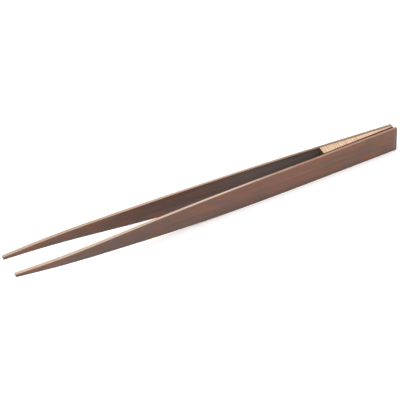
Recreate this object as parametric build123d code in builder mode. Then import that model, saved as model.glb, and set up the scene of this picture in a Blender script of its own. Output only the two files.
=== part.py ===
from build123d import *
import os
from math import radians, tan

os.makedirs("parts", exist_ok=True)

# Print tongs for lifting wet photographic prints out of a tray. Two flat bamboo legs stand on their
# long edges and are glued, at the back, to either side of a thin wedge. The wedge spreads the legs, and
# the legs spring: squeezed near mid-length, they bend just in front of the wedge and their tips meet.
#
# Frame: +X runs from the tips to the back end, +Y towards the right-hand leg of somebody who looks along
# the tongs from the back end, and +Z is up. The origin is at mid-length and mid-width, on the surface
# that the legs' lower long edges rest on.

# ---- driving dimensions, mm ----
length = 230.0  # back end to tips
leg_height = 15.3  # each leg's full height, over the handle

# Side view of a leg: two straight edges, then a rounded shoulder, then a straight taper to a square tip.
shoulder_from_back = 119.0  # where the straight edges would meet the tapers
shoulder_reach = 40.0  # how far the shoulder's rounding reaches to either side of that corner
tip_height = 1.9  # the square tip's height
tip_rise = 2.1  # how far the tip's middle is above the handle's middle, as the lower edge tapers more

# Plan view of a leg: straight along the wedge, a slight bend, straight to the hip, in again to the tip.
bend_past_wedge = 9.3  # where the leg turns from the wedge's angle to the free stretch's angle
bend_reach = 8.0
free_angle = 1.74  # degrees that the free stretch spreads from the mid-plane
hip_from_tip = 29.3  # where the leg turns in towards the tip
hip_reach = 19.0
tip_angle = 2.56  # degrees that the tip turns in towards the mid-plane

# Thickness of a leg: planed thin where it flexes, left thick at both ends.
back_thickness = 1.75
flex_thickness = 1.5
tip_thickness = 2.1
thin_end_from_back = 112.0  # where the thin stretch ends and the leg starts to thicken
thin_end_reach = 20.0

# Wedge and glue.
back_step = 1.3  # how far the wedge and the right-hand leg stop short of the left-hand leg's back end
wedge_length = 43.4  # the legs run straight along it, and bend past it
wedge_back_thickness = 1.07  # the thin end, flush with the right-hand leg's back end
wedge_front_thickness = 5.5  # the thick end, cut square across, between the legs
left_glue_back_thickness = 0.6  # the open, dark seam, which gapes towards the back
left_glue_front_thickness = 0.3
right_glue_thickness = 0.12  # the tight seam
glue_recess = 0.35  # how far the glue stops short of the wedge's edges, all round

# Flexing: each leg is divided across at the line about which its free stretch turns when it is squeezed.
flex_from_wedge = 30.0
flex_gap = 0.1  # clearance across the dividing line

edge_easing = 0.25  # radius that the sawn edges are sanded to


# ---- places that follow from them ----
def from_back(distance):
    """X of a place that is the given distance in front of the back end."""
    return length / 2 - distance


def blend_radii(points, reaches):
    """Radius at each inner corner of a path, so that its rounding touches both sides at its reach."""
    radii = []
    for before, corner, after, reach in zip(points, points[1:], points[2:], reaches):
        way_in = Vector(*corner) - Vector(*before)
        way_out = Vector(*after) - Vector(*corner)
        radii.append(reach / tan(radians(way_in.get_angle(way_out)) / 2))
    return radii


wedge_front_from_back = back_step + wedge_length
space_back = wedge_back_thickness + left_glue_back_thickness + right_glue_thickness
space_front = wedge_front_thickness + left_glue_front_thickness + right_glue_thickness
inner_wedge_back = space_back / 2  # a leg's inner face to the mid-plane, at the wedge's back end
inner_wedge_front = space_front / 2
wedge_slope = (inner_wedge_front - inner_wedge_back) / wedge_length
inner_back = inner_wedge_back - wedge_slope * back_step
bend_from_back = wedge_front_from_back + bend_past_wedge
hip_from_back = length - hip_from_tip
inner_bend = inner_back + wedge_slope * bend_from_back
inner_thin_end = inner_bend + tan(radians(free_angle)) * (thin_end_from_back - bend_from_back)
inner_hip = inner_bend + tan(radians(free_angle)) * (hip_from_back - bend_from_back)
inner_tip = inner_hip - tan(radians(tip_angle)) * hip_from_tip
widest = inner_hip + tip_thickness

inner_path = [
    (from_back(0), inner_back),
    (from_back(bend_from_back), inner_bend),
    (from_back(hip_from_back), inner_hip),
    (from_back(length), inner_tip),
]
outer_path = [
    (from_back(0), inner_back + back_thickness),
    (from_back(bend_from_back), inner_bend + flex_thickness),
    (from_back(thin_end_from_back), inner_thin_end + flex_thickness),
    (from_back(hip_from_back), inner_hip + tip_thickness),
    (from_back(length), inner_tip + tip_thickness),
]

tip_middle = leg_height / 2 + tip_rise
top_path = [
    (from_back(0), leg_height),
    (from_back(shoulder_from_back), leg_height),
    (from_back(length), tip_middle + tip_height / 2),
]
bottom_path = [
    (from_back(0), 0),
    (from_back(shoulder_from_back), 0),
    (from_back(length), tip_middle - tip_height / 2),
]

flex_x = from_back(wedge_front_from_back + flex_from_wedge)
handle_side = Plane.YZ.offset(flex_x + flex_gap / 2)
blade_side = Plane.YZ.offset(flex_x - flex_gap / 2)
hip = Plane.YZ.offset(from_back(hip_from_back))
right_back = Plane.YZ.offset(from_back(back_step))


# ---- legs ----
# The right-hand leg as one strip: its plan, carried up to the full height, kept inside its side view.
with BuildPart() as leg_strip:
    with BuildSketch(Plane.XY):
        with BuildLine():
            inner_edge = FilletPolyline(
                *inner_path, radius=blend_radii(inner_path, [bend_reach, hip_reach])
            )
            outer_edge = FilletPolyline(
                *outer_path, radius=blend_radii(outer_path, [bend_reach, thin_end_reach, hip_reach])
            )
            Line(inner_edge @ 0, outer_edge @ 0)
            Line(inner_edge @ 1, outer_edge @ 1)
        make_face()
    extrude(amount=leg_height)
    with BuildSketch(Plane.XZ):
        with BuildLine():
            top_edge = FilletPolyline(*top_path, radius=blend_radii(top_path, [shoulder_reach]))
            bottom_edge = FilletPolyline(
                *bottom_path, radius=blend_radii(bottom_path, [shoulder_reach])
            )
            Line(top_edge @ 0, bottom_edge @ 0)
            Line(top_edge @ 1, bottom_edge @ 1)
        make_face()
    extrude(amount=widest, both=True, mode=Mode.INTERSECT)
    fillet(leg_strip.edges(), radius=edge_easing)

# The left-hand leg mirrors it. Each leg is divided into the handle stretch, which is glued to the wedge
# and stands out a little in front of it, the blade, which swings in when the tongs are squeezed, and the
# tip, which is the stretch of the same strip that turns in from the hip. The right-hand leg's back end is
# cut a little shorter, and its edges are eased again.
with BuildPart() as right_leg_handle:
    add(leg_strip.part)
    split(bisect_by=handle_side, keep=Keep.TOP)
    split(bisect_by=right_back, keep=Keep.BOTTOM)
    back_face = right_leg_handle.faces().sort_by(Axis.X)[-1]
    fillet(back_face.edges(), radius=edge_easing)

with BuildPart() as right_leg_blade:
    add(leg_strip.part)
    split(bisect_by=blade_side, keep=Keep.BOTTOM)
    split(bisect_by=hip, keep=Keep.TOP)

with BuildPart() as right_leg_tip:
    add(leg_strip.part)
    split(bisect_by=hip, keep=Keep.BOTTOM)

with BuildPart() as left_leg_handle:
    mirror(leg_strip.part, about=Plane.XZ)
    split(bisect_by=handle_side, keep=Keep.TOP)

with BuildPart() as left_leg_blade:
    mirror(right_leg_blade.part, about=Plane.XZ)

with BuildPart() as left_leg_tip:
    mirror(right_leg_tip.part, about=Plane.XZ)


# ---- wedge and glue ----
# Seen from above, the wedge and both films of glue are slices of the space between the legs. The wedge
# sits off the mid-plane by half the difference between the films, most of all at the back.
def slice_corners(back_low, back_high, front_low, front_high, inset):
    """Corners of a slice of that space, from Y values at the wedge's back and front ends."""
    low_slope = (front_low - back_low) / wedge_length
    high_slope = (front_high - back_high) / wedge_length
    near, far = inset, wedge_length - inset
    return [
        (from_back(back_step + near), back_low + low_slope * near),
        (from_back(back_step + far), back_low + low_slope * far),
        (from_back(back_step + far), back_high + high_slope * far),
        (from_back(back_step + near), back_high + high_slope * near),
    ]


wedge_back_left = -inner_wedge_back + left_glue_back_thickness
wedge_back_right = inner_wedge_back - right_glue_thickness
wedge_front_left = -inner_wedge_front + left_glue_front_thickness
wedge_front_right = inner_wedge_front - right_glue_thickness

with BuildPart() as wedge:
    with BuildSketch(Plane.XY):
        Polygon(
            *slice_corners(wedge_back_left, wedge_back_right, wedge_front_left, wedge_front_right, 0),
            align=None,
        )
    extrude(amount=leg_height)
    fillet(wedge.edges(), radius=edge_easing)

with BuildPart() as left_glue_film:
    with BuildSketch(Plane.XY.offset(glue_recess)):
        Polygon(
            *slice_corners(
                -inner_wedge_back, wedge_back_left, -inner_wedge_front, wedge_front_left, glue_recess
            ),
            align=None,
        )
    extrude(amount=leg_height - 2 * glue_recess)

with BuildPart() as right_glue_film:
    with BuildSketch(Plane.XY.offset(glue_recess)):
        Polygon(
            *slice_corners(
                wedge_back_right, inner_wedge_back, wedge_front_right, inner_wedge_front, glue_recess
            ),
            align=None,
        )
    extrude(amount=leg_height - 2 * glue_recess)


# ---- labels and files ----
pieces = {
    "wedge": wedge,
    "left_glue_film": left_glue_film,
    "right_glue_film": right_glue_film,
    "left_leg_handle": left_leg_handle,
    "left_leg_blade": left_leg_blade,
    "left_leg_tip": left_leg_tip,
    "right_leg_handle": right_leg_handle,
    "right_leg_blade": right_leg_blade,
    "right_leg_tip": right_leg_tip,
}
for name, piece in pieces.items():
    piece.part.label = name
    export_step(piece.part, f"parts/{name}.step")
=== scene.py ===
import logging
import math
from dataclasses import dataclass, field
from enum import Enum, IntEnum
from typing import Any, Optional, Union

import bpy
import numpy as np
from mathutils import Matrix, Vector


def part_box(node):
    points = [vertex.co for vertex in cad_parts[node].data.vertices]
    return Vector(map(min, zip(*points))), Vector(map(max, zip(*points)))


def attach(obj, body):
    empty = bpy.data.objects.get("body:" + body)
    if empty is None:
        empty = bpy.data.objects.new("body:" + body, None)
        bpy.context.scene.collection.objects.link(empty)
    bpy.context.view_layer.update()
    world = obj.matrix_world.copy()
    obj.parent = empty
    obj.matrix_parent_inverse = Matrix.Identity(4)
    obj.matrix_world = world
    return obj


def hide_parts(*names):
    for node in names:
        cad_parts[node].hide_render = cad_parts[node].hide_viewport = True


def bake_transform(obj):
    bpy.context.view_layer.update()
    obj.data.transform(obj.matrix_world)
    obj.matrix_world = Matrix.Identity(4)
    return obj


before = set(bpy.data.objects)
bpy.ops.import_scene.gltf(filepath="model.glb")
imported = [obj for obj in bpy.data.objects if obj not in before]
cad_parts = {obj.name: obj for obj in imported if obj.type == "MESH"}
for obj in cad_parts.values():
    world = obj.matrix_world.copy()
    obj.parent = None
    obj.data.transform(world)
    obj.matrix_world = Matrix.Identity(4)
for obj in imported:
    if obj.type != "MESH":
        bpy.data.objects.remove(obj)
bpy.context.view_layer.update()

# Print tongs: two springy bamboo legs on edge, glued at the back to either side of a pale wedge. The
# frame is the CAD model's: +X from the tips to the back end, +Y towards the right-hand leg, +Z up.

MM = 0.001  # metres in a millimetre
TINY = 1e-9  # puts a zero on the positive side

log = logging.getLogger("print_tongs")

Triple = tuple[float, float, float]
Colour = Triple
Levels = tuple[float, float]  # two settings of one thing, such as where it starts and ends


# ---------------------------------------------------------------- choices


class Side(Enum):
    """Which leg, by the side of the mid-plane that it is on."""

    LEFT = -1
    RIGHT = 1

    @property
    def word(self) -> str:
        """The side's name as the CAD nodes and bodies have it."""
        return self.name.lower()


class Glueing(Enum):
    """How well a glue line was clamped."""

    OPEN = "open"
    TIGHT = "tight"


class Seed(IntEnum):
    """What picks the phases of each wandering. A side's value is added to the ones that a side has."""

    SAW_STRAY = 5
    SAW_FAINTNESS = 6
    PLANING_ALONG = 10
    PLANING_UP = 30
    KNOCKS = 50
    GLUE_BELOW = 70
    GLUE_ABOVE = 75


# ---------------------------------------------------------------- shapes as functions


def soft_ramp(distance: np.ndarray, corner: float, reach: float) -> np.ndarray:
    """Rise of a line that leaves the level at a corner which is rounded off.

    Formula: nothing before the rounding; t squared over four reaches inside it, where t is how far the
    place is into the rounding; and the distance past the corner after it.

    Args:
        distance: places along the line.
        corner: where the sharp corner would be.
        reach: how far the rounding goes to either side of it.

    Returns:
        The rise at each place, for a line that climbs as fast as it goes along.
    """
    into = np.clip(distance - (corner - reach), 0.0, 2 * reach)
    past = np.maximum(distance - (corner + reach), 0.0)
    return into**2 / (4 * reach) + past


def soft_path(
    distance: np.ndarray, start: float, slopes: list[float], corners: list[tuple[float, float]]
) -> np.ndarray:
    """A path of straight stretches with rounded corners.

    Formula: the start, plus the first slope times the distance, plus each corner's change of slope times
    its soft ramp.

    Args:
        distance: places along the path.
        start: its value at distance zero.
        slopes: one for each straight stretch.
        corners: place and reach of each corner, one fewer than the slopes.

    Returns:
        The path's value at each place.
    """
    value = start + slopes[0] * distance
    for before, after, (corner, reach) in zip(slopes, slopes[1:], corners):
        value = value + (after - before) * soft_ramp(distance, corner, reach)
    return value


def fade(distance: np.ndarray, start: float, end: float) -> np.ndarray:
    """Goes smoothly from 0 at start to 1 at end, as 3t squared less 2t cubed."""
    t = np.clip((distance - start) / (end - start), 0.0, 1.0)
    return t * t * (3 - 2 * t)


@dataclass(frozen=True)
class Span:
    """A stretch over which something comes in smoothly. Its start may be past its end."""

    start: float
    end: float

    def on(self, place: np.ndarray) -> np.ndarray:
        """Goes from 0 at the start to 1 at the end."""
        return fade(place, self.start, self.end)

    def off(self, place: np.ndarray) -> np.ndarray:
        """Goes from 1 at the start to 0 at the end."""
        return 1 - self.on(place)


def wander(distance: np.ndarray, pitch: float, seed: int) -> np.ndarray:
    """Smooth wandering between 0 and 1, the same for the same seed.

    Formula: a half, plus the mean of seven cosines whose wavelengths are spread from half the pitch to
    twice the pitch, each with its own seeded phase.

    Args:
        distance: places, in metres.
        pitch: the typical distance from one high place to the next, in metres.
        seed: picks the phases.

    Returns:
        An array shaped as distance is.
    """
    cosines = 7
    rng = np.random.default_rng(seed)
    total = np.zeros_like(distance)
    wavelengths = pitch * np.geomspace(0.5, 2.0, cosines)
    for wavelength, phase in zip(wavelengths, rng.uniform(0, 2 * np.pi, cosines)):
        total = total + np.cos(2 * np.pi * distance / wavelength + phase)
    return np.clip(0.5 + total / cosines, 0.0, 1.0)


@dataclass(frozen=True)
class Outline:
    """Points round an upright rectangle with rounded corners, anticlockwise as seen from +X.

    Formula: a point lies its share of (half size less corner radius) from the centre, plus its arc's share
    of the radius, in Y and in Z alike. On a flat side one of the arc's shares is 1 and the other is 0; in
    a corner they are the cosine and the sine of the arc's angle. So the arc's two shares are also the
    surface's normal.

    Args:
        per_corner: points on each corner's arc.
        on_tall: points between the corners of an upright side.
        on_flat: points between the corners of the top and of the bottom.
    """

    per_corner: int
    on_tall: int
    on_flat: int

    def shares(self) -> np.ndarray:
        """How far out each point lies, as the class's formula uses it.

        Returns:
            Four rows with a number for each point: its share in Y, in Z, its arc's in Y, its arc's in Z.
        """
        angle = np.linspace(0, np.pi / 2, self.per_corner)
        corners = ((1, -1, -np.pi / 2), (1, 1, 0.0), (-1, 1, np.pi / 2), (-1, -1, np.pi))
        rows = []
        for y_share, z_share, turn in corners:
            arc = np.stack([
                np.full_like(angle, y_share),
                np.full_like(angle, z_share),
                np.cos(angle + turn),
                np.sin(angle + turn),
            ])
            upright = y_share != z_share
            count = self.on_tall if upright else self.on_flat
            even = np.linspace(-1, 1, count + 2)[1:-1]
            along = np.sin(even * np.pi / 2)  # closer together towards the corners
            ones = np.ones(count)
            if upright:
                side = [y_share * ones, along * y_share, y_share * ones, 0 * ones]
            else:
                side = [-along * z_share, z_share * ones, 0 * ones, z_share * ones]
            rows.append(np.concatenate([arc, np.stack(side)], axis=1))
        return np.concatenate(rows, axis=1)


@dataclass
class Bar:
    """A bar of rounded-rectangle section carried along X, closed and eased at both ends.

    Formula: at each station the outline is set between the two upright faces and between the bottom and
    the top. Towards an end, the outline draws in by e (1 - cos a) while its station comes within
    e (1 - sin a) of the end, for a from 0 to a quarter turn, e being the easing; then it shrinks to a
    point in the end's plane. A dent pushes a point straight into the surface.

    Args:
        outline: the points round the section.
        station: distance from the back end of each section, ends not included, in metres.
        easing: radius that the end's edges are eased to, in metres.
    """

    outline: Outline
    station: np.ndarray
    easing: float
    easing_steps: int = 5
    cap_steps: int = 5
    thinnest_radius: float = 0.02 * MM

    def __post_init__(self) -> None:
        """Lays out the stations, how far each draws in, and how far each is shrunk to the end's centre."""
        turn = np.linspace(0, np.pi / 2, self.easing_steps)
        start, end = self.station[0], self.station[-1]
        back = start + self.easing * (1 - np.sin(turn[::-1]))
        tip = end - self.easing * (1 - np.sin(turn))
        body = self.station[(self.station > back[-1]) & (self.station < tip[0])]
        drawn = self.easing * (1 - np.cos(turn))
        shrink = np.linspace(1, 0, self.cap_steps + 1)[1:-1]
        flat = np.ones_like(shrink)
        self.along = np.concatenate([start * flat, back, body, tip, end * flat])
        self.inset = np.concatenate(
            [self.easing * flat, drawn[::-1], 0 * body, drawn, self.easing * flat]
        )
        rest = np.ones(len(back) + len(body) + len(tip))
        self.shrink = np.concatenate([shrink[::-1], rest, shrink])
        self.shares = self.outline.shares()

    def distance(self) -> np.ndarray:
        """Distance from the back end of every point, one row for each section."""
        return np.repeat(self.along[:, None], self.shares.shape[1], axis=1)

    def place(
        self,
        low_y: np.ndarray,
        high_y: np.ndarray,
        low_z: np.ndarray,
        high_z: np.ndarray,
        radius: np.ndarray,
        dent: Optional[np.ndarray] = None,
    ) -> tuple[np.ndarray, np.ndarray]:
        """Y and Z of every point.

        Args:
            low_y: Y of the face on the low side, for each section.
            high_y: Y of the other upright face.
            low_z: Z of the bottom.
            high_z: Z of the top.
            radius: corner radius, for each section or each point.
            dent: how far each point is pushed into the surface.

        Returns:
            Two arrays with a row for each section.
        """
        y_share, z_share, y_arc, z_arc = (row[None, :] for row in self.shares)
        inset = self.inset[:, None]
        middle_y = ((low_y + high_y) / 2)[:, None]
        middle_z = ((low_z + high_z) / 2)[:, None]
        half_y = ((high_y - low_y) / 2)[:, None] - inset
        half_z = ((high_z - low_z) / 2)[:, None] - inset
        radius = np.broadcast_to(radius if radius.ndim == 2 else radius[:, None], self.distance().shape)
        radius = np.clip(radius - inset, self.thinnest_radius, np.minimum(half_y, half_z))
        y = y_share * (half_y - radius) + y_arc * radius
        z = z_share * (half_z - radius) + z_arc * radius
        if dent is not None:
            y = y - dent * y_arc
            z = z - dent * z_arc
        shrink = self.shrink[:, None]
        return middle_y + y * shrink, middle_z + z * shrink


def skin(name: str, points: np.ndarray, values: dict[str, np.ndarray], flipped: bool) -> bpy.types.Object:
    """Makes a closed piece from rings of points.

    Formula: each ring is joined to the next by a four-sided face for each point, and the first and last
    rings are closed by a fan round the mean of their points.

    Args:
        name: the piece's name.
        points: an array of rings by points by three, ordered from the back end to the tips.
        values: what each point carries, by attribute name, one number or three each.
        flipped: whether the rings run clockwise as seen from +X, as on a mirrored piece.

    Returns:
        The new object, in the scene, at the origin.
    """
    rings, count = points.shape[:2]
    index = np.arange(rings * count).reshape(rings, count)
    nxt = np.roll(index, -1, axis=1)
    quads = np.stack([index[:-1], index[1:], nxt[1:], nxt[:-1]], axis=-1).reshape(-1, 4)
    back_pole, tip_pole = rings * count, rings * count + 1
    ones = np.ones(count, dtype=int)
    back_fan = np.stack([back_pole * ones, index[0], nxt[0]], axis=-1)
    tip_fan = np.stack([tip_pole * ones, nxt[-1], index[-1]], axis=-1)
    if flipped:
        quads, back_fan, tip_fan = quads[:, ::-1], back_fan[:, ::-1], tip_fan[:, ::-1]

    def with_poles(field_values: np.ndarray) -> np.ndarray:
        """Adds the two poles' values to the points'.

        Args:
            field_values: the points' values, rings by points, with one number or three each.

        Returns:
            A row for each point and then one for each pole, which has the mean of its ring.
        """
        flat = field_values.reshape(rings * count, -1)
        poles = [field_values[0].reshape(count, -1).mean(0), field_values[-1].reshape(count, -1).mean(0)]
        return np.concatenate([flat, np.stack(poles)])

    mesh = bpy.data.meshes.new(name)
    mesh.from_pydata(
        with_poles(points).tolist(), [], quads.tolist() + back_fan.tolist() + tip_fan.tolist()
    )
    mesh.polygons.foreach_set("use_smooth", np.ones(len(mesh.polygons), dtype=bool))
    for label, value in values.items():
        wide = value.ndim == 3
        store = mesh.attributes.new(label, "FLOAT_VECTOR" if wide else "FLOAT", "POINT")
        store.data.foreach_set("vector" if wide else "value", with_poles(value).astype(np.float32).ravel())
    mesh.update()
    piece = bpy.data.objects.new(name, mesh)
    bpy.context.scene.collection.objects.link(piece)
    return piece


# ---------------------------------------------------------------- shader maths


Input = Union[float, tuple, "Signal"]


class Signal:
    """A node's output, which Python arithmetic works on.

    Numbers go through Math nodes, and vectors through Vector Math nodes.

    Args:
        shader: the node tree that the socket is in.
        socket: the output.
    """

    def __init__(self, shader: "Shader", socket: bpy.types.NodeSocket) -> None:
        """Keeps the tree and the output."""
        self.shader = shader
        self.socket = socket

    def _do(self, operation: str, first: Input, second: Input = 0.0) -> "Signal":
        """Adds the node for one operation.

        Args:
            operation: the operation's name.
            first: what it works on.
            second: what it adds, takes away or multiplies by.

        Returns:
            The node's output.
        """
        vector = self.socket.type == "VECTOR"
        kind = "ShaderNodeVectorMath" if vector else "ShaderNodeMath"
        return self.shader.node(kind, {"operation": operation}, {0: first, 1: second})

    def __add__(self, other: Input) -> "Signal":
        """self + other."""
        return self._do("ADD", self, other)

    __radd__ = __add__

    def __sub__(self, other: Input) -> "Signal":
        """self - other."""
        return self._do("SUBTRACT", self, other)

    def __rsub__(self, other: Input) -> "Signal":
        """other - self."""
        return self._do("SUBTRACT", other, self)

    def __mul__(self, other: Input) -> "Signal":
        """self * other."""
        return self._do("MULTIPLY", self, other)

    __rmul__ = __mul__

    def above(self, low: float, high: float) -> "Signal":
        """Turns the signal into a smooth step.

        Args:
            low: the signal at which the step is 0. It may be the larger of the two.
            high: the signal at which the step is 1.

        Returns:
            The step.
        """
        return self.shader.node(
            "ShaderNodeMapRange",
            {"interpolation_type": "SMOOTHSTEP", "clamp": True},
            {"Value": self, "From Min": low, "From Max": high},
        )

    def sway(self, middle: float, swing: float) -> "Signal":
        """Turns a noise between 0 and 1 into one round the given middle, with the given swing."""
        return (self - 0.5) * swing + middle


@dataclass(frozen=True)
class Noise:
    """One noise over the grain.

    Args:
        waves: how many waves there are to a metre, along, up and through the grain.
        detail: how many finer octaves are added.
        roughness: how strong those are.
        shift: how far off it is read, so that it matches no other noise, in metres.
    """

    waves: Triple
    detail: float = 3.0
    roughness: float = 0.55
    shift: Optional[Triple] = None


class Shader:
    """The node tree of one material, with its Principled shader."""

    MIX_A, MIX_B, MIX_RESULT = 6, 7, 2  # a Mix node's colour sockets

    def __init__(self, name: str) -> None:
        """Makes the material and finds its tree and its Principled shader.

        Args:
            name: the material's name.
        """
        self.material = bpy.data.materials.new(name)
        self.material.use_nodes = True
        self.tree = self.material.node_tree
        self.principled = self.tree.nodes["Principled BSDF"]

    def _feed(self, socket: bpy.types.NodeSocket, value: Input) -> None:
        """Links a signal to a socket, or sets the socket to a value.

        Args:
            socket: the input that is fed.
            value: the signal, or a number, a vector or a colour.
        """
        if isinstance(value, Signal):
            self.tree.links.new(value.socket, socket)
        elif socket.type == "RGBA":
            socket.default_value = (*value, 1.0)
        elif socket.type == "VECTOR" and not isinstance(value, tuple):
            socket.default_value = (value, value, value)
        else:
            socket.default_value = value

    def node(
        self,
        kind: str,
        settings: dict[str, Any],
        inputs: dict[Union[str, int], Input],
        output: Union[str, int] = 0,
    ) -> Signal:
        """Adds a node.

        Args:
            kind: the node's type.
            settings: its properties, which are set first.
            inputs: what feeds its sockets, by the sockets' names or numbers.
            output: which of its outputs is wanted.

        Returns:
            That output.
        """
        made = self.tree.nodes.new(kind)
        for label, value in settings.items():
            setattr(made, label, value)
        for label, value in inputs.items():
            self._feed(made.inputs[label], value)
        return Signal(self, made.outputs[output])

    def attribute(self, name: str, output: str = "Fac") -> Signal:
        """A value that the mesh carries: Fac for a number, Vector for three."""
        return self.node("ShaderNodeAttribute", {"attribute_name": name}, {}, output)

    def noise(self, where: Signal, noise: Noise) -> Signal:
        """Adds a noise.

        Args:
            where: the place that it is read at, in metres.
            noise: which noise.

        Returns:
            Its value, between 0 and 1.
        """
        place = where if noise.shift is None else where + noise.shift
        return self.node(
            "ShaderNodeTexNoise",
            {},
            {
                "Vector": place * noise.waves,
                "Scale": 1.0,
                "Detail": noise.detail,
                "Roughness": noise.roughness,
            },
            "Fac",
        )

    def mix(self, factor: Input, low: Input, high: Input) -> Signal:
        """Mixes two colours.

        Args:
            factor: from 0 for the first colour to 1 for the second.
            low: the first colour.
            high: the second colour.

        Returns:
            The mixed colour.
        """
        return self.node(
            "ShaderNodeMix",
            {"data_type": "RGBA"},
            {0: factor, self.MIX_A: low, self.MIX_B: high},
            self.MIX_RESULT,
        )

    def finish(self, relief: Signal, depth: float, **sockets: Input) -> bpy.types.Material:
        """Feeds the Principled shader.

        Args:
            relief: the height of the fine relief, from 0 to 1.
            depth: how deep that relief is, in metres.
            sockets: the shader's other inputs, their names written with _ for a space.

        Returns:
            The finished material.
        """
        bump = self.node("ShaderNodeBump", {}, {"Strength": 1.0, "Distance": depth, "Height": relief})
        self._feed(self.principled.inputs["Normal"], bump)
        for label, value in sockets.items():
            self._feed(self.principled.inputs[label.replace("_", " ")], value)
        return self.material


# ---------------------------------------------------------------- finishes


@dataclass(frozen=True)
class SteamedBamboo:
    """Steamed brown bamboo under a thin satin lacquer, with sawn edges that stayed pale.

    It reads what the leg's mesh carries: grain (along, up and through the strip, in metres), sawn (1 on
    the sawn upper and lower edges), cut (1 on the cut ends), arris (metres from the nearest long edge),
    rise (0 at the lower edge to 1 at the upper one), stain and aged (how brown and how yellow-grey a sawn
    edge has gone), sheen_and_greying (painted sheen that greys the inner face, and a grey band at the back
    end), grime_and_shade (how dark a face is: grime, and painted shade along the lower rim and next to the
    wedge), warmth (how red it has gone) and soaked (1 where developer soaked the tips).
    """

    low_dark: Colour = (0.094, 0.045, 0.030)  # the broad faces, near their lower edge
    low_light: Colour = (0.172, 0.094, 0.070)
    high_dark: Colour = (0.112, 0.040, 0.019)  # and near their upper one
    high_light: Colour = (0.228, 0.089, 0.046)
    russet: Colour = (0.225, 0.068, 0.034)
    ruddy: Colour = (0.260, 0.088, 0.046)
    olive: Colour = (0.102, 0.072, 0.036)
    violet: Colour = (0.120, 0.062, 0.058)
    pore_dark: Colour = (0.050, 0.026, 0.018)
    edge_light: Colour = (0.560, 0.415, 0.330)
    edge_dark: Colour = (0.410, 0.280, 0.212)
    edge_aged: Colour = (0.200, 0.128, 0.052)
    edge_stained: Colour = (0.285, 0.152, 0.106)
    edge_lacquer: Colour = (0.205, 0.100, 0.066)
    cut_light: Colour = (0.360, 0.320, 0.270)
    cut_dark: Colour = (0.130, 0.100, 0.080)
    rubbed: Colour = (0.340, 0.190, 0.130)
    # painted sheen: the cool grey that the lacquer's reflection gives the inner faces; it also greys a band
    # at the back end
    sheen_and_band_grey: Colour = (0.262, 0.225, 0.215)
    # the dark of real grime where the fingers squeeze, of a band at the back end, and of the painted shade
    # along the lower rims and next to the wedge
    grime_shade_dark: Colour = (0.062, 0.045, 0.038)
    wetted: Colour = (0.075, 0.048, 0.028)

    fibre: Noise = Noise((22, 2600, 2600), 5.0, 0.62)
    streak: Noise = Noise((9, 620, 620))
    patch: Noise = Noise((55, 130, 130), 2.0)
    blotch: Noise = Noise((90, 210, 210), 2.0, shift=(3.1, 1.7, 0.4))
    bruise: Noise = Noise((70, 170, 170), 2.0, shift=(7.3, 0.6, 2.2))
    pores: Noise = Noise((260, 7200, 7200), 2.0, 0.5)
    chatter: Noise = Noise((170, 900, 900), shift=(0.9, 0.2, 0.6))
    bundle_waves: Triple = (300, 3300, 3300)

    pore_levels: Levels = (0.66, 0.74)
    tone_levels: Levels = (0.32, 0.68)
    patch_levels: Levels = (0.50, 0.66)
    browned_levels: Levels = (0.35, 0.65)
    bundle_levels: Levels = (0.20, 0.42)
    chatter_levels: Levels = (0.38, 0.62)
    rub_levels: Levels = (0.45 * MM, 0.05 * MM)

    fibre_share: float = 0.55  # of the tone; the streaks give the rest
    low_high_sway: float = 0.5
    patch_strength: float = 0.60
    face_pores: float = 0.55
    edge_pores: float = 0.35
    warmth_sway: Levels = (0.8, 0.8)
    sheen_and_greying_by_tone: Levels = (0.75, 0.25)
    grime_and_shade_sway: Levels = (0.8, 0.6)
    soaked_sway: Levels = (0.6, 0.8)
    aged_sway: Levels = (0.8, 1.0)
    stain_sway: float = 0.9
    rub_strength: float = 0.4
    bare_when_sawn: float = 0.6
    bare_when_rubbed: float = 0.5

    satin: Levels = (0.44, 0.22)  # roughness, and how much the fibres sway it
    bare_roughness: float = 0.16
    coat: float = 0.14
    coat_lost_when_bare: float = 0.12
    coat_roughness: float = 0.30
    specular: float = 0.30
    relief: float = 0.03 * MM
    fibre_relief: float = 0.7
    streak_relief: float = 0.3
    pore_relief: float = 0.5
    bundle_relief: float = 0.5

    def make(self) -> bpy.types.Material:
        """The material.

        Returns:
            Long fibre streaks, short dark pores and slow patches of russet, olive and violet on the broad
            faces; pale streaked wood on the sawn edges, speckled bundles on the cut ends, lacquer that
            is rubbed thin along the arrises, and the stains, the painted sheen and the painted shade that
            the mesh asks for.
        """
        s = Shader("steamed_bamboo")
        grain = s.attribute("grain", "Vector")
        sawn, cut, arris = s.attribute("sawn"), s.attribute("cut"), s.attribute("arris")
        fibre, streak = s.noise(grain, self.fibre), s.noise(grain, self.streak)
        patch, blotch = s.noise(grain, self.patch), s.noise(grain, self.blotch)
        bruise = s.noise(grain, self.bruise)
        pore = s.noise(grain, self.pores).above(*self.pore_levels)
        tone = (fibre * self.fibre_share + streak * (1 - self.fibre_share)).above(*self.tone_levels)

        face = self.face(s, tone, patch, blotch, bruise, streak, pore)
        edge = self.edge(s, tone, blotch, bruise, streak, pore)
        bundle = s.node(
            "ShaderNodeTexVoronoi",
            {"feature": "F1"},
            {"Vector": grain * self.bundle_waves, "Scale": 1.0},
            "Distance",
        )
        end = s.mix(bundle.above(*self.bundle_levels), self.cut_dark, self.cut_light)

        rub = arris.above(*self.rub_levels) * s.noise(grain, self.chatter).above(*self.chatter_levels)
        colour = s.mix(rub * self.rub_strength, face, self.rubbed)
        colour = s.mix(sawn, colour, edge)
        colour = s.mix(cut, colour, end)

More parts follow.
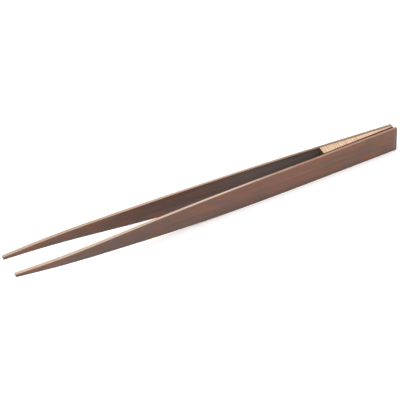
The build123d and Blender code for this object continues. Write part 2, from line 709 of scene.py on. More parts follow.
        bare = (sawn * self.bare_when_sawn + rub * self.bare_when_rubbed + cut).above(0.0, 1.0)
        grooves = pore * self.pore_relief + (1 - bundle) * cut * self.bundle_relief
        return s.finish(
            fibre * self.fibre_relief + streak * self.streak_relief - grooves,
            self.relief,
            Base_Color=colour,
            Roughness=fibre.sway(*self.satin) + bare * self.bare_roughness,
            Coat_Weight=self.coat - bare * self.coat_lost_when_bare,
            Coat_Roughness=self.coat_roughness,
            Specular_IOR_Level=self.specular,
        )

    def face(
        self,
        s: Shader,
        tone: Signal,
        patch: Signal,
        blotch: Signal,
        bruise: Signal,
        streak: Signal,
        pore: Signal,
    ) -> Signal:
        """The broad faces' colour.

        Args:
            s: the material's shader.
            tone: from the dark wood at 0 to the light wood at 1.
            patch: the noise of the russet patches.
            blotch: the noise of the olive ones.
            bruise: the noise of the violet ones.
            streak: the noise of the broad streaks.
            pore: 1 in a pore.

        Returns:
            Wood that goes from its lower to its upper colours, patched, pored, then marked by use, with
            painted sheen and painted shade on top.
        """
        low = s.mix(tone, self.low_dark, self.low_light)
        high = s.mix(tone, self.high_dark, self.high_light)
        uneven_rise = s.attribute("rise") + patch.sway(0.0, self.low_high_sway)
        face = s.mix(uneven_rise.above(0.0, 1.0), low, high)
        for noise, tint in ((patch, self.russet), (blotch, self.olive), (bruise, self.violet)):
            face = s.mix(noise.above(*self.patch_levels) * self.patch_strength, face, tint)
        face = s.mix(s.attribute("warmth") * streak.sway(*self.warmth_sway), face, self.ruddy)
        face = s.mix(pore * self.face_pores, face, self.pore_dark)
        # painted sheen on the inner faces, and the grey band at the back end, stronger on the lighter wood
        least_greying, greying_on_light = self.sheen_and_greying_by_tone
        face = s.mix(s.attribute("sheen_and_greying") * (least_greying + tone * greying_on_light), face, self.sheen_and_band_grey)
        # real grime, and painted shade along the lower rims and on the inner faces next to the wedge
        face = s.mix(s.attribute("grime_and_shade") * patch.sway(*self.grime_and_shade_sway), face, self.grime_shade_dark)
        return s.mix(s.attribute("soaked") * blotch.sway(*self.soaked_sway), face, self.wetted)

    def edge(
        self, s: Shader, tone: Signal, blotch: Signal, bruise: Signal, streak: Signal, pore: Signal
    ) -> Signal:
        """The sawn edges' colour.

        Args:
            s: the material's shader.
            tone: from the dark wood at 0 to the light wood at 1.
            blotch: the noise that the brown stain is uneven by.
            bruise: the noise that the yellowing is uneven by.
            streak: the noise of the broad streaks.
            pore: 1 in a pore.

        Returns:
            Pale pored wood, then yellowed, and then stained brown.
        """
        edge = s.mix(tone, self.edge_dark, self.edge_light)
        edge = s.mix(pore * self.edge_pores, edge, self.edge_dark)
        edge = s.mix(s.attribute("aged") * bruise.sway(*self.aged_sway), edge, self.edge_aged)
        browned = s.mix(streak.above(*self.browned_levels), self.edge_lacquer, self.edge_stained)
        stain = s.attribute("stain")
        return s.mix((stain * blotch.sway(1.0, self.stain_sway)).above(0.0, 1.0), edge, browned)


@dataclass(frozen=True)
class PaleWood:
    """Bare pale wood, sawn across, so that fine dark lines cross its upper and lower faces.

    It reads what the wedge's mesh carries: grain, saw (how deep in a saw line), level (1 on the upper and
    lower faces), smear (1 beside the seams) and front (metres behind the front end's plane).
    """

    pale: Colour = (0.760, 0.545, 0.395)
    warm: Colour = (0.560, 0.380, 0.255)
    line: Colour = (0.230, 0.130, 0.080)
    # painted highlight along the eased front arris of the level faces
    arris: Colour = (0.620, 0.520, 0.390)
    glued: Colour = (0.065, 0.021, 0.006)
    smeared: Colour = (0.150, 0.062, 0.027)
    # dark end grain, darkened further as painted shade in the slot between the legs
    end_grain_and_shade: Colour = (0.130, 0.088, 0.040)

    fibre: Noise = Noise((60, 2400, 2400), 4.0)
    patch: Noise = Noise((140, 300, 300), 2.0)
    broken: Noise = Noise((500, 420, 420), shift=(0.5, 0.3, 0.1))
    fibre_levels: Levels = (0.35, 0.68)
    patch_levels: Levels = (0.45, 0.75)
    broken_levels: Levels = (0.20, 0.50)
    upright_levels: Levels = (0.75, 0.25)
    arris_highlight_levels: Levels = (0.45 * MM, 0.20 * MM)
    front_levels: Levels = (0.02 * MM, 0.0)
    patch_strength: float = 0.4
    arris_highlight_strength: float = 0.7
    smear_sway: Levels = (0.7, 0.8)

    roughness: Levels = (0.62, 0.2)  # and how much the fibres sway it
    specular: float = 0.35
    relief: float = 0.03 * MM
    fibre_relief: float = 0.5
    line_relief: float = 0.5

    def make(self) -> bpy.types.Material:
        """The material.

        Returns:
            Long faint fibres, saw lines where the mesh's saw value is high, glue on the upright sides and
            smeared beside the seams, a dark end grain in front with painted shade on it, and a painted
            highlight on the arris above that.
        """
        s = Shader("pale_wood")
        grain = s.attribute("grain", "Vector")
        level, front = s.attribute("level"), s.attribute("front")
        fibre, broken = s.noise(grain, self.fibre), s.noise(grain, self.broken)
        patch = s.noise(grain, self.patch).above(*self.patch_levels)
        cut_line = s.attribute("saw") * broken.above(*self.broken_levels)
        # painted highlight on the eased front arris of the level faces
        arris = front.above(*self.arris_highlight_levels) * level * self.arris_highlight_strength
        colour = s.mix(fibre.above(*self.fibre_levels), self.warm, self.pale)
        colour = s.mix(patch * self.patch_strength, colour, self.warm)
        colour = s.mix(cut_line, colour, self.line)
        colour = s.mix(s.attribute("smear") * broken.sway(*self.smear_sway), colour, self.smeared)
        colour = s.mix(arris, colour, self.arris)
        colour = s.mix(level.above(*self.upright_levels), colour, self.glued)
        # the front end: dark end grain, with painted shade between the legs
        colour = s.mix(front.above(*self.front_levels), colour, self.end_grain_and_shade)
        return s.finish(
            fibre * self.fibre_relief - cut_line * self.line_relief,
            self.relief,
            Base_Color=colour,
            Roughness=fibre.sway(*self.roughness),
            Specular_IOR_Level=self.specular,
        )


@dataclass(frozen=True)
class CuredGlue:
    """Cured brown glue, with painted shade: nearly black where it is sunk deep in the seam, amber where it
    wells up.
    """

    # dark glue, darkened further as painted shade where it is sunk in the seam
    sunk_and_shaded: Colour = (0.085, 0.027, 0.007)
    amber: Colour = (0.170, 0.062, 0.017)
    lump: Noise = Noise((420, 900, 900))
    lump_sway: float = 0.4
    well_levels: Levels = (0.1, 1.0)
    roughness: float = 0.42
    lump_roughness: float = 0.25
    specular: float = 0.05
    relief: float = 0.04 * MM

    def make(self) -> bpy.types.Material:
        """Makes the material, which goes from the dark of painted shade, where the glue is sunk, to amber
        with the well value that the mesh carries.

        Returns:
            The material.
        """
        s = Shader("cured_glue")
        lump = s.noise(s.attribute("grain", "Vector"), self.lump)
        # painted shade: the deeper the glue is sunk, the darker
        well = (s.attribute("well") + lump.sway(0.0, self.lump_sway)).above(*self.well_levels)
        return s.finish(
            lump,
            self.relief,
            Base_Color=s.mix(well, self.sunk_and_shaded, self.amber),
            Roughness=self.roughness + lump * self.lump_roughness,
            Specular_IOR_Level=self.specular,
        )


# ---------------------------------------------------------------- pieces


@dataclass(frozen=True)
class Layout:
    """Sizes that several pieces share, in metres. Distances are from the back end towards the tips."""

    back: float  # X of the back end
    length: float
    height: float  # the legs' and the wedge's, over the handle
    back_step: float  # how far the wedge and the right leg stop short of the back end
    wedge_front: float
    hip: float
    inner_back: float = 0.895 * MM  # a leg's inner face to the mid-plane, at the wedge's back end
    inner_front: float = 2.96 * MM  # the same at the wedge's front
    left_glue_back: float = 0.6 * MM
    left_glue_front: float = 0.3 * MM
    right_glue: float = 0.12 * MM
    bend_past_wedge: float = 9.3 * MM

    @classmethod
    def from_frame(cls) -> "Layout":
        """Reads the places that the CAD nodes' boxes give.

        Returns:
            The layout with those places and its own thin sizes.
        """
        _, handle_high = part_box("left_leg_handle")
        blade_low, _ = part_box("left_leg_blade")
        tip_low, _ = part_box("left_leg_tip")
        wedge_low, wedge_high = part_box("wedge")
        return cls(
            back=handle_high.x,
            length=handle_high.x - tip_low.x,
            height=handle_high.z,
            back_step=handle_high.x - wedge_high.x,
            wedge_front=handle_high.x - wedge_low.x,
            hip=handle_high.x - blade_low.x,
        )

    @property
    def bend(self) -> float:
        """Where the legs turn from the wedge's angle to the free stretch's."""
        return self.wedge_front + self.bend_past_wedge

    @property
    def wedge_slope(self) -> float:
        """How fast a leg's inner face leaves the mid-plane along the wedge."""
        return (self.inner_front - self.inner_back) / (self.wedge_front - self.back_step)

    def inner_at_wedge(self, distance: np.ndarray) -> np.ndarray:
        """A leg's inner face to the mid-plane, along the wedge: a straight line from back to front."""
        return self.inner_back + self.wedge_slope * (distance - self.back_step)

    def glue(self, side: Side, distance: np.ndarray) -> np.ndarray:
        """How thick a film of glue is.

        Formula: the right one is the same throughout, and the left one tapers evenly from back to front.

        Args:
            side: the side that the film is on.
            distance: places from the back end.

        Returns:
            The thickness at each place.
        """
        if side is Side.RIGHT:
            return self.right_glue + 0 * distance
        slope = (self.left_glue_front - self.left_glue_back) / (self.wedge_front - self.back_step)
        return self.left_glue_back + slope * (distance - self.back_step)

    def spot(self, distance: float) -> Triple:
        """The point on the X axis that is the given distance in front of the back end."""
        return (self.back - distance, 0.0, 0.0)


@dataclass(frozen=True)
class Weathering:
    """How the colours of a leg have changed in making and in use, and where shade and sheen are painted on
    it.

    Amounts go from 0 for clean wood to 1 for wholly changed. Spans are distances from the back end in
    metres, unless their comments say otherwise; a span of rise goes from 0 at the lower edge to 1 at the
    upper one. In the methods, outside is 1 on the outer face and the edges, and 0 on the inner face.
    """

    side: Side
    wedge_front: float
    length: float

    wiped: float = 0.74  # along the left leg's upper edge, where the open seam's glue was wiped
    wiped_span: Span = Span(58 * MM, 118 * MM)
    squeezed_left: float = 0.7  # next to the seams, where glue was squeezed out
    squeezed_right: float = 0.35
    squeezed_width: Span = Span(0.0, 0.7 * MM)  # from the inner face
    squeezed_past_wedge: float = 14 * MM

    yellowed: float = 1.0  # the right leg's sawn edges, over the wedge
    yellow_lost: float = 0.70  # how much less that is in front of it
    yellowed_span: Span = Span(40 * MM, 120 * MM)
    wetted: float = 0.16  # both legs' sawn edges, where the tongs go into the tray
    wetted_span: Span = Span(155 * MM, 200 * MM)
    soaked_length: Span = Span(9 * MM, 1 * MM)  # from the tip

    warmed_from: Span = Span(36 * MM, 54 * MM)
    warmed_up_from: Span = Span(0.08, 0.28)  # of rise
    warmed_high: float = 0.5
    warmed_high_end: Span = Span(76 * MM, 92 * MM)
    warmed_high_lost: float = 0.45  # how much less that is towards the upper edge
    warmed_high_thin: Span = Span(0.45, 0.75)  # of rise
    warmed_low: float = 0.16
    warmed_low_end: Span = Span(112 * MM, 128 * MM)
    warmed_low_top: Span = Span(0.42, 0.58)  # of rise

    # painted shade along the lower edge, where the leg meets the floor
    rim_shade: float = 0.85
    rim_width: Span = Span(0.3 * MM, 1.5 * MM)  # from the lower edge
    rim_inside_from: Span = Span(110 * MM, 150 * MM)
    worked_grime: float = 0.34  # the outer face, where the fingers squeeze it
    worked_from: Span = Span(108 * MM, 150 * MM)
    worked_more: float = 0.12
    worked_more_from: Span = Span(155 * MM, 170 * MM)
    worked_end: Span = Span(192 * MM, 206 * MM)
    # darker in a narrow band at the back end of the outer face
    back_darkening: float = 0.75
    back_darkening_end: Span = Span(0.8 * MM, 1.9 * MM)
    gap_shade: float = 0.25  # painted shade on the inner face, next to the wedge, between the legs
    shaded_stretch_end: Span = Span(60 * MM, 90 * MM)

    least_greying: float = 0.45  # painted sheen, towards the rims, as a share of the sheen at mid-height
    sheen_up_from: Span = Span(0.45, 0.68)  # of rise
    sheen_top: Span = Span(0.80, 0.95)  # of rise
    sheen_spared: float = 0.5  # how much of the painted sheen is left at the top, past the shaded stretch
    sheen_end: float = 160 * MM
    # greyer in a narrow band at the back end of the outer face
    back_greying: float = 0.5
    back_greying_end: Span = Span(1.0 * MM, 2.4 * MM)
    widened_rub: float = 0.65  # how much nearer the inner face's arrises count as being

    def stain(self, distance: np.ndarray, through: np.ndarray, upper: np.ndarray) -> np.ndarray:
        """How brown the sawn edges have gone.

        Formula: the left leg's upper edge is brown to the start of its span and then less and less to its
        end; and close to the inner face both legs are browner as far as the wedge goes, the left one more.

        Args:
            distance: each point's distance from the back end.
            through: each point's distance from the inner face.
            upper: 1 on the upper half of the leg and 0 on the lower half.

        Returns:
            The amounts, shaped as distance is.
        """
        is_left = self.side is Side.LEFT
        past_wedge = Span(self.wedge_front, self.wedge_front + self.squeezed_past_wedge)
        wiped = self.wiped * self.wiped_span.off(distance) * upper * is_left
        squeezed = self.squeezed_width.off(through) * past_wedge.off(distance)
        return np.clip(wiped + (self.squeezed_left if is_left else self.squeezed_right) * squeezed, 0.0, 1.0)

    def aged(self, distance: np.ndarray) -> np.ndarray:
        """How yellow-grey the sawn edges have gone.

        Formula: both legs' edges a little towards the tips, and the right leg's over the wedge as well,
        less so in front of it.

        Args:
            distance: each point's distance from the back end.

        Returns:
            The amounts, shaped as distance is.
        """
        wetted = self.wetted * self.wetted_span.on(distance)
        if self.side is Side.LEFT:
            return wetted
        return wetted + self.yellowed - self.yellow_lost * self.yellowed_span.on(distance)

    def soaked(self, distance: np.ndarray) -> np.ndarray:
        """How far developer has soaked the wood: from nothing to all over the last millimetres."""
        return self.soaked_length.on(self.length - distance)

    def warmth(self, distance: np.ndarray, rise: np.ndarray, outside: np.ndarray) -> np.ndarray:
        """How red the broad faces have gone.

        Formula: the outer face is reddened from in front of the wedge to the end of its high stretch,
        less towards the upper edge, and beyond that a little on its lower half.

        Args:
            distance: each point's distance from the back end.
            rise: each point's rise.
            outside: whether it is on the outer face.

        Returns:
            The amounts, shaped as distance is.
        """
        begun = self.warmed_from.on(distance) * self.warmed_up_from.on(rise)
        thinner = 1 - self.warmed_high_lost * self.warmed_high_thin.on(rise)
        high = self.warmed_high * self.warmed_high_end.off(distance) * thinner
        low = self.warmed_low * self.warmed_low_end.off(distance) * self.warmed_low_top.off(rise)
        return np.maximum(high, low) * begun * outside

    def grime_and_shade(self, distance: np.ndarray, above_edge: np.ndarray, outside: np.ndarray) -> np.ndarray:
        """How dark the broad faces are: real grime, and painted shade.

        Formula: painted shade along the lower rim on the outer face and, from mid-length on, on the inner
        one; grime on the outer face where it is squeezed, a darker band at its back end, and painted shade
        on the inner face by the wedge, between the legs.

        Args:
            distance: each point's distance from the back end.
            above_edge: each point's height above the lower edge.
            outside: whether it is on the outer face.

        Returns:
            The amounts, shaped as distance is.
        """
        reached = np.maximum(outside, self.rim_inside_from.on(distance))
        # painted shade along the lower edge
        rim_shading = self.rim_shade * self.rim_width.off(above_edge) * reached
        worked = self.worked_grime * self.worked_from.on(distance)
        worked = worked + self.worked_more * self.worked_more_from.on(distance)
        worked = worked * self.worked_end.off(distance)
        back = self.back_darkening * self.back_darkening_end.off(distance)
        # painted shade on the inner face next to the wedge, between the legs
        by_handle = self.gap_shade * self.shaded_stretch_end.off(distance) * (1 - outside)
        return np.maximum(rim_shading, np.maximum(worked, back) * outside + by_handle)

    def sheen_and_greying(self, distance: np.ndarray, rise: np.ndarray, outside: np.ndarray) -> np.ndarray:
        """How grey the broad faces are painted: painted sheen on the inner face, and a band at the back end.

        Formula: the inner face is given painted sheen above mid-height from the wedge on, fading by the
        sheen's end, and less so towards its rims; the outer face is greyed only next to the back end.

        Args:
            distance: each point's distance from the back end.
            rise: each point's rise.
            outside: whether it is on the outer face.

        Returns:
            The amounts, shaped as distance is.
        """
        # painted sheen: the cool grey of the lacquer's reflection on the inner face
        topped = self.sheen_top.on(rise) * (1 - self.sheen_spared * self.shaded_stretch_end.on(distance))
        band = self.least_greying + (1 - self.least_greying) * self.sheen_up_from.on(rise) * (1 - topped)
        between = band * Span(self.wedge_front, self.sheen_end).off(distance)
        back = self.back_greying * self.back_greying_end.off(distance)
        return between * (1 - outside) + back * outside

    def nearness(self, distance: np.ndarray, outside: np.ndarray) -> np.ndarray:
        """What a distance to an arris is multiplied by: less on the inner face, past its shaded stretch."""
        return 1 - self.widened_rub * self.shaded_stretch_end.on(distance) * (1 - outside)


@dataclass
class Leg:
    """One leg: a single strip of bamboo, straight along the wedge, then spread, then turned in at the hip.

    Its sizes are in metres and its distances are from the back end.
    """

    side: Side
    layout: Layout
    finish: bpy.types.Material
    bend_reach: float = 8 * MM
    free_slope: float = math.tan(math.radians(1.74))
    tip_slope: float = -math.tan(math.radians(2.56))
    hip_reach: float = 19 * MM
    back_thickness: float = 1.75 * MM
    flex_thickness: float = 1.5 * MM
    tip_thickness: float = 2.1 * MM
    thin_end: float = 112 * MM
    thin_end_reach: float = 20 * MM
    shoulder: float = 119 * MM
    shoulder_reach: float = 40 * MM
    tip_height: float = 1.9 * MM
    tip_rise: float = 2.1 * MM
    easing: float = 0.25 * MM
    worn_easing: float = 0.55 * MM  # the outer arrises, where the hand holds them
    worn_past_wedge: float = 30 * MM
    planing: float = 0.035 * MM  # how deep the plane's shallow waves are
    planing_pitch: float = 24 * MM
    planing_rows: float = 6 * MM  # the waves' pitch up the leg
    planing_slant: float = 0.05
    dents: float = 0.09 * MM  # how deep the deepest knocks on the arrises are
    dent_pitch: float = 5 * MM
    dent_rarity: int = 5
    arris_spacing: float = 31 * MM  # so that no two arrises are knocked alike
    ring_pitch: float = 0.5 * MM
    bend_end: float = 135 * MM  # where the leg has turned all the way with its blade
    sanding: float = 0.01 * MM  # taken off the outer face
    end_cut: float = 0.85  # share of the easing past which the end's cut shows
    cane_offset: float = 0.9  # the two legs come from different parts of the cane
    outline: Outline = field(default_factory=lambda: Outline(per_corner=6, on_tall=40, on_flat=8))

    def inner(self, distance: np.ndarray) -> np.ndarray:
        """Inner face to the mid-plane: along the wedge, spreading past the bend, turning in at the hip.

        Args:
            distance: places from the back end.

        Returns:
            The face's distance to the mid-plane at each place.
        """
        return soft_path(
            distance,
            float(self.layout.inner_at_wedge(0.0)),
            [self.layout.wedge_slope, self.free_slope, self.tip_slope],
            [(self.layout.bend, self.bend_reach), (self.layout.hip, self.hip_reach)],
        )

    def outer(self, distance: np.ndarray) -> np.ndarray:
        """Outer face to the mid-plane: the inner face's runs, with the thickness changing along each.

        Args:
            distance: places from the back end.

        Returns:
            The face's distance to the mid-plane at each place.
        """
        layout = self.layout
        thinning = (self.flex_thickness - self.back_thickness) / layout.bend
        thickening = (self.tip_thickness - self.flex_thickness) / (layout.hip - self.thin_end)
        return soft_path(
            distance,
            float(layout.inner_at_wedge(0.0)) + self.back_thickness,
            [layout.wedge_slope + thinning, self.free_slope, self.free_slope + thickening, self.tip_slope],
            [
                (layout.bend, self.bend_reach),
                (self.thin_end, self.thin_end_reach),
                (layout.hip, self.hip_reach),
            ],
        )

    def edge(self, distance: np.ndarray, upwards: int) -> np.ndarray:
        """Z of the upper or the lower edge: level to the shoulder, then a straight taper to the tip.

        Args:
            distance: places from the back end.
            upwards: 1 for the upper edge and -1 for the lower one.

        Returns:
            The edge's height at each place.
        """
        level = self.layout.height if upwards > 0 else 0.0
        end = self.layout.height / 2 + self.tip_rise + upwards * self.tip_height / 2
        slope = (end - level) / (self.layout.length - self.shoulder)
        return soft_path(distance, level, [0.0, slope], [(self.shoulder, self.shoulder_reach)])

    def wear(self, distance: np.ndarray, shares: np.ndarray) -> np.ndarray:
        """How far each point is pushed in, by the plane's waves and by knocks.

        Formula: the waves' depth times two wanderings, one along the leg and one up it; plus, on an
        arris, the dents' depth times a high power of a finer wandering along it, so that most of it
        stays sound.

        Args:
            distance: each point's distance from the back end.
            shares: the outline's shares.

        Returns:
            The depths, shaped as distance is.
        """
        hand = self.side.value
        _, z_share, y_arc, z_arc = shares
        up = np.broadcast_to((z_share * self.layout.height)[None, :], distance.shape)
        slanted = up + distance * self.planing_slant
        waves = wander(distance, self.planing_pitch, Seed.PLANING_ALONG + hand)
        waves = waves * wander(slanted, self.planing_rows, Seed.PLANING_UP + hand)
        corner = 2 * np.abs(y_arc * z_arc)[None, :]
        lane = 3 * np.sign(y_arc + TINY) + np.sign(z_arc + TINY)
        shifted = distance + lane[None, :] * self.arris_spacing
        knocks = wander(shifted, self.dent_pitch, Seed.KNOCKS + hand) ** self.dent_rarity
        return self.planing * waves + self.dents * corner * knocks

    def build(self) -> bpy.types.Object:
        """Makes the leg and gives it its finish.

        Returns:
            The leg, which stands for its three CAD nodes.
        """
        layout, hand = self.layout, self.side.value
        back_end = 0.0 if self.side is Side.LEFT else layout.back_step
        stations = np.arange(back_end, layout.length, self.ring_pitch)
        bar = Bar(self.outline, np.append(stations, layout.length), self.easing)
        along, distance = bar.along, bar.distance()
        inner, outer = self.inner(along), self.outer(along) - self.sanding
        low, high = self.edge(along, -1), self.edge(along, 1)
        by_handle = Span(layout.wedge_front, layout.wedge_front + self.worn_past_wedge).off(along)
        outerness = (bar.shares[0][None, :] + 1) / 2
        radius = self.easing + (self.worn_easing - self.easing) * by_handle[:, None] * outerness
        y, z = bar.place(inner, outer, low, high, radius, self.wear(distance, bar.shares))

        middle = layout.height / 2
        through = y - inner[:, None]
        grain = [distance + self.cane_offset * hand, z - middle, through + self.cane_offset * hand]
        points = np.stack([layout.back - distance, hand * y, z], axis=-1)
        name = f"{self.side.word}_leg"
        marks = self.marks(bar, y, z, (inner, outer, low, high))
        leg = skin(
            name, points, {"grain": np.stack(grain, axis=-1), **marks}, flipped=self.side is Side.LEFT
        )
        leg.data.materials.append(self.finish)
        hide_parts(f"{name}_handle", f"{name}_blade", f"{name}_tip")
        layout.spot(layout.wedge_front)
        layout.spot(self.bend_end)
        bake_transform(leg)
        log.info("%s: %d faces", name, len(leg.data.polygons))
        return leg

    def marks(
        self, bar: Bar, y: np.ndarray, z: np.ndarray, faces: tuple[np.ndarray, ...]
    ) -> dict[str, np.ndarray]:
        """What each point tells the finish, apart from the grain.

        Args:
            bar: the bar that the leg is made from.
            y: each point's distance from the mid-plane.
            z: each point's height.
            faces: the inner face, the outer face, the lower edge and the upper edge, at each section.

        Returns:
            The values, by attribute name.
        """
        inner, outer, low, high = (face[:, None] for face in faces)
        layout, distance = self.layout, bar.distance()
        _, _, y_arc, z_arc = bar.shares
        weathering = Weathering(self.side, layout.wedge_front, layout.length)
        on_edge = np.broadcast_to(np.abs(z_arc)[None, :] ** 2, y.shape)
        outside = np.broadcast_to((y_arc > -0.5)[None, :], y.shape) * 1.0
        across_edge = np.minimum(y - inner, outer - y)
        up_face = np.minimum(z - low, high - z) * weathering.nearness(distance, outside)
        cut = Span(self.end_cut * self.easing, self.easing).on(bar.inset)
        rise = (z - low) / (high - low)
        upper = (z > layout.height / 2) * 1.0
        return {
            "sawn": on_edge,
            "cut": np.broadcast_to(cut[:, None], y.shape),
            "arris": np.where(on_edge > 0.5, across_edge, up_face),
            "rise": rise,
            "stain": weathering.stain(distance, y - inner, upper),
            "aged": weathering.aged(distance),
            # the first of these is painted sheen on the inner face and a grey band at the back end; the
            # second is grime, with painted shade along the lower rim and next to the wedge
            "sheen_and_greying": weathering.sheen_and_greying(distance, rise, outside),
            "grime_and_shade": weathering.grime_and_shade(distance, z - low, outside),
            "warmth": weathering.warmth(distance, rise, outside),
            "soaked": weathering.soaked(distance),
        }


@dataclass
class Wedge:
    """The pale wedge that spreads the legs: thin end at the back, thick end cut square across.

    Its sizes are in metres.
    """

    layout: Layout
    finish: bpy.types.Material
    easing: float = 0.25 * MM
    saw_pitch: float = 1.15 * MM
    saw_depth: float = 0.045 * MM
    saw_slant: float = 0.12
    saw_stray: float = 1.1 * MM  # how far the lines stray from even spacing
    stray_pitch: float = 9 * MM
    faintest: float = 0.30  # how strong the faintest lines are
    faint_pitch: float = 3.5 * MM
    thin_end_share: float = 0.6  # how strong the lines are at the thin end, against the thick end
    thin_end: Span = Span(14 * MM, 30 * MM)
    left_smear: Span = Span(0.15 * MM, 0.75 * MM)  # how far glue is smeared from each seam
    right_smear: Span = Span(0.0, 0.5 * MM)
    ring_pitch: float = 0.14 * MM
    outline: Outline = field(default_factory=lambda: Outline(per_corner=5, on_tall=16, on_flat=14))

    def saw_lines(self, distance: np.ndarray, across: np.ndarray) -> np.ndarray:
        """How deep in a saw line each point is, from 0 to 1.

        Formula: the distance, with a slow wandering and a slight slant across the wedge added, is
        counted in pitches; a half less half the cosine of that, squared, makes narrow lines,
        another wandering makes some of them stronger, and all are fainter at the thin end.

        Args:
            distance: each point's distance from the back end.
            across: each point's Y.

        Returns:
            The depths, shaped as distance is.
        """
        stray = self.saw_stray * wander(distance, self.stray_pitch, Seed.SAW_STRAY)
        turn = 2 * np.pi * (distance + stray + self.saw_slant * across) / self.saw_pitch
        line = (0.5 - 0.5 * np.cos(turn)) ** 2
        uneven = wander(distance, self.faint_pitch, Seed.SAW_FAINTNESS)
        strength = self.faintest + (1 - self.faintest) * uneven
        thicker = self.thin_end_share + (1 - self.thin_end_share) * self.thin_end.on(distance)
        return line * strength * thicker

    def build(self) -> bpy.types.Object:
        """Makes the wedge and gives it its finish.

        Returns:
            The wedge, which stands for its CAD node.
        """
        layout = self.layout
        stations = np.arange(layout.back_step, layout.wedge_front, self.ring_pitch)
        bar = Bar(self.outline, np.append(stations, layout.wedge_front), self.easing)
        distance = bar.distance()
        inner = layout.inner_at_wedge(bar.along)
        low_y = -inner + layout.glue(Side.LEFT, bar.along)
        high_y = inner - layout.glue(Side.RIGHT, bar.along)
        floor, top = 0 * inner, 0 * inner + layout.height
        radius = np.full_like(inner, self.easing)
        y_flat, _ = bar.place(low_y, high_y, floor, top, radius)
        level = np.abs(bar.shares[3])[None, :] ** 2
        saw = self.saw_lines(distance, y_flat) * level
        y, z = bar.place(low_y, high_y, floor, top, radius, self.saw_depth * saw)
        clean = self.left_smear.on(y - low_y[:, None]) * self.right_smear.on(high_y[:, None] - y)
        points = np.stack([layout.back - distance, y, z], axis=-1)
        values = {
            "grain": np.stack([distance, z, y], axis=-1),
            "saw": saw,
            "level": np.broadcast_to(level, y.shape),
            "smear": 1 - clean,
            "front": layout.wedge_front - distance,
        }
        wedge = skin("spreading_wedge", points, values, flipped=False)
        wedge.data.materials.append(self.finish)
        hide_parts("wedge")
        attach(wedge, "handle")
        log.info("wedge: %d faces", len(wedge.data.polygons))
        return wedge


@dataclass
class GlueFilm:
    """The film of glue between the wedge and one leg, sunk unevenly below the edges.

    Its sizes are in metres.
    """

    side: Side
    layout: Layout
    finish: bpy.types.Material
    sunk_front: float = 0.10 * MM
    sunk_back: float = 0.45 * MM
    closing: Span = Span(0.15, 0.95)  # where an open seam closes, as shares of the wedge's front end
    unevenness: float = 0.2 * MM
    uneven_pitch: float = 4 * MM
    end_inset: float = 0.3 * MM
    easing: float = 0.05 * MM
    ring_pitch: float = 0.25 * MM
    keyed: float = 0.02 * MM  # how far the film soaks into the wood to either side
    batch_offset: float = 0.2  # so that the two films aren't lumpy alike
    outline: Outline = field(default_factory=lambda: Outline(per_corner=4, on_tall=10, on_flat=4))

    @property
    def glueing(self) -> Glueing:
        """The left leg's seam stands open and the right leg's is tight."""
        return Glueing.OPEN if self.side is Side.LEFT else Glueing.TIGHT

    def sunk(self, along: np.ndarray, seed: int) -> np.ndarray:
        """How far an edge of the film is below the wood.

        Formula: an open seam goes smoothly from its back depth to its front depth, a tight one keeps the
        front depth, and a wandering adds the unevenness.

        Args:
            along: places from the back end.
            seed: picks the wandering.

        Returns:
            The depth at each place.
        """
        is_open = self.glueing is Glueing.OPEN
        openness = self.closing.off(along / self.layout.wedge_front) * is_open
        depth = self.sunk_front + (self.sunk_back - self.sunk_front) * openness
        return depth + self.unevenness * wander(along, self.uneven_pitch, seed)

    def build(self) -> bpy.types.Object:
        """Makes the film and gives it its finish.

        Returns:
            The film, which stands for its CAD node.
        """
        layout, hand = self.layout, self.side.value
        front = layout.wedge_front - self.end_inset
        stations = np.arange(layout.back_step + self.end_inset, front, self.ring_pitch)
        bar = Bar(self.outline, np.append(stations, front), self.easing)
        along, distance = bar.along, bar.distance()
        leg_face = layout.inner_at_wedge(along)
        near, far = leg_face - layout.glue(self.side, along) - self.keyed, leg_face + self.keyed
        low = self.sunk(along, Seed.GLUE_BELOW + hand)
        sunk_above = self.sunk(along, Seed.GLUE_ABOVE + hand)
        easing = np.full_like(along, self.easing)
        y, z = bar.place(near, far, low, layout.height - sunk_above, easing)
        # the glue's painted shade goes with how far its upper edge is sunk
        well = np.clip(1 - sunk_above / self.sunk_back, 0, 1)
        points = np.stack([layout.back - distance, hand * y, z], axis=-1)
        values = {
            "grain": np.stack([distance, z, y + self.batch_offset * hand], axis=-1),
            "well": np.repeat(well[:, None], distance.shape[1], axis=1),
        }
        name = f"{self.side.word}_glue_line"
        film = skin(name, points, values, flipped=self.side is Side.LEFT)
        film.data.materials.append(self.finish)
        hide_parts(f"{self.side.word}_glue_film")
        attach(film, "handle")
        log.info("%s (%s): %d faces", name, self.glueing.value, len(film.data.polygons))
        return film


# ---------------------------------------------------------------- studio


@dataclass(frozen=True)
class Softbox:
    """A soft rectangular light that faces the object. Sizes are in metres, and the power is in watts."""

    name: str
    place: Triple
    width: float
    height: float
    power: float

    def hang(self) -> None:
        """Adds the light."""
        data = bpy.data.lights.new(self.name, "AREA")
        data.shape = "RECTANGLE"
        data.size, data.size_y = self.width, self.height
        data.energy = self.power
        lamp = bpy.data.objects.new(self.name, data)
        lamp.location = self.place
        lamp.rotation_euler = (-Vector(self.place)).to_track_quat("-Z", "Y").to_euler()
        bpy.context.scene.collection.objects.link(lamp)


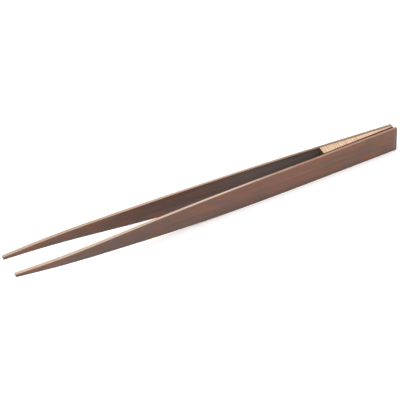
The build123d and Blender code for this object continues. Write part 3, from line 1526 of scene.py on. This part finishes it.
@dataclass
class Studio:
    """A plain pale floor, soft light mostly from above, and the camera."""

    overhead: Softbox = Softbox("overhead", (0.10, 0.25, 1.6), 2.6, 2.6, 42.0)
    front_fill: Softbox = Softbox("front_fill", (-0.9, -2.2, 0.9), 1.4, 1.0, 1.5)
    sky_colour: Colour = (1.0, 1.0, 1.0)
    sky_strength: float = 0.55
    floor_size: float = 14.0
    floor_colour: Colour = (0.90, 0.90, 0.90)
    floor_roughness: float = 0.95
    floor_specular: float = 0.1
    floor_glow: float = 0.20  # the floor is lit from below as well, like a light table
    azimuth: float = -26.976
    elevation: float = 41.098
    roll: float = -0.5205
    distance: float = 2.28569
    lens: float = 388.36
    sensor: float = 36.0
    nearest: float = 0.1
    farthest: float = 50.0
    aim: Triple = (-0.002187, 0.001775, 0.00832)

    def build(self) -> None:
        """Makes the floor, the lights and the camera, and sets how brightness becomes colour."""
        self.lay_floor()
        self.overhead.hang()
        self.front_fill.hang()
        world = bpy.data.worlds.new("sky")
        world.use_nodes = True
        background = world.node_tree.nodes["Background"]
        background.inputs["Color"].default_value = (*self.sky_colour, 1.0)
        background.inputs["Strength"].default_value = self.sky_strength
        bpy.context.scene.world = world
        bpy.context.scene.view_settings.view_transform = "Standard"
        self.place_camera()

    def lay_floor(self) -> None:
        """A level floor under the object, matt and near white."""
        half = self.floor_size / 2
        corners = [(-half, -half, 0.0), (half, -half, 0.0), (half, half, 0.0), (-half, half, 0.0)]
        mesh = bpy.data.meshes.new("floor")
        mesh.from_pydata(corners, [], [(0, 1, 2, 3)])
        floor = bpy.data.objects.new("floor", mesh)
        bpy.context.scene.collection.objects.link(floor)
        material = bpy.data.materials.new("floor_paper")
        material.use_nodes = True
        sockets = {
            "Base Color": (*self.floor_colour, 1.0),
            "Roughness": self.floor_roughness,
            "Specular IOR Level": self.floor_specular,
            "Emission Color": (1.0, 1.0, 1.0, 1.0),
            "Emission Strength": self.floor_glow,
        }
        for label, value in sockets.items():
            material.node_tree.nodes["Principled BSDF"].inputs[label].default_value = value
        mesh.materials.append(material)

    def place_camera(self) -> None:
        """Sets a long lens at its azimuth, elevation and roll about the point that it aims at."""
        turn, lift, roll = (math.radians(v) for v in (self.azimuth, self.elevation, self.roll))
        right = Vector((math.cos(turn), math.sin(turn), 0.0))
        back = Vector((math.sin(turn) * math.cos(lift), -math.cos(turn) * math.cos(lift), math.sin(lift)))
        up = back.cross(right)
        rolled_right = right * math.cos(roll) + up * math.sin(roll)
        rolled_up = up * math.cos(roll) - right * math.sin(roll)
        place = Vector(self.aim) + back * self.distance
        data = bpy.data.cameras.new("camera")
        data.lens, data.sensor_width = self.lens, self.sensor
        data.clip_start, data.clip_end = self.nearest, self.farthest
        camera = bpy.data.objects.new("camera", data)
        axes = Matrix((rolled_right, rolled_up, back)).transposed().to_4x4()
        camera.matrix_world = Matrix.Translation(place) @ axes
        bpy.context.scene.collection.objects.link(camera)
        bpy.context.scene.camera = camera


def main() -> None:
    """Builds the tongs piece by piece, and then the studio round them."""
    logging.basicConfig(level=logging.INFO, format="%(name)s: %(message)s")
    layout = Layout.from_frame()
    log.info("frame: %.1f mm long, %d CAD nodes", layout.length / MM, len(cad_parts))
    bamboo, wood, glue = SteamedBamboo().make(), PaleWood().make(), CuredGlue().make()
    for side in Side:
        Leg(side, layout, bamboo).build()
    Wedge(layout, wood).build()
    for side in Side:
        GlueFilm(side, layout, glue).build()
    Studio().build()


if __name__ == "__main__":
    main()
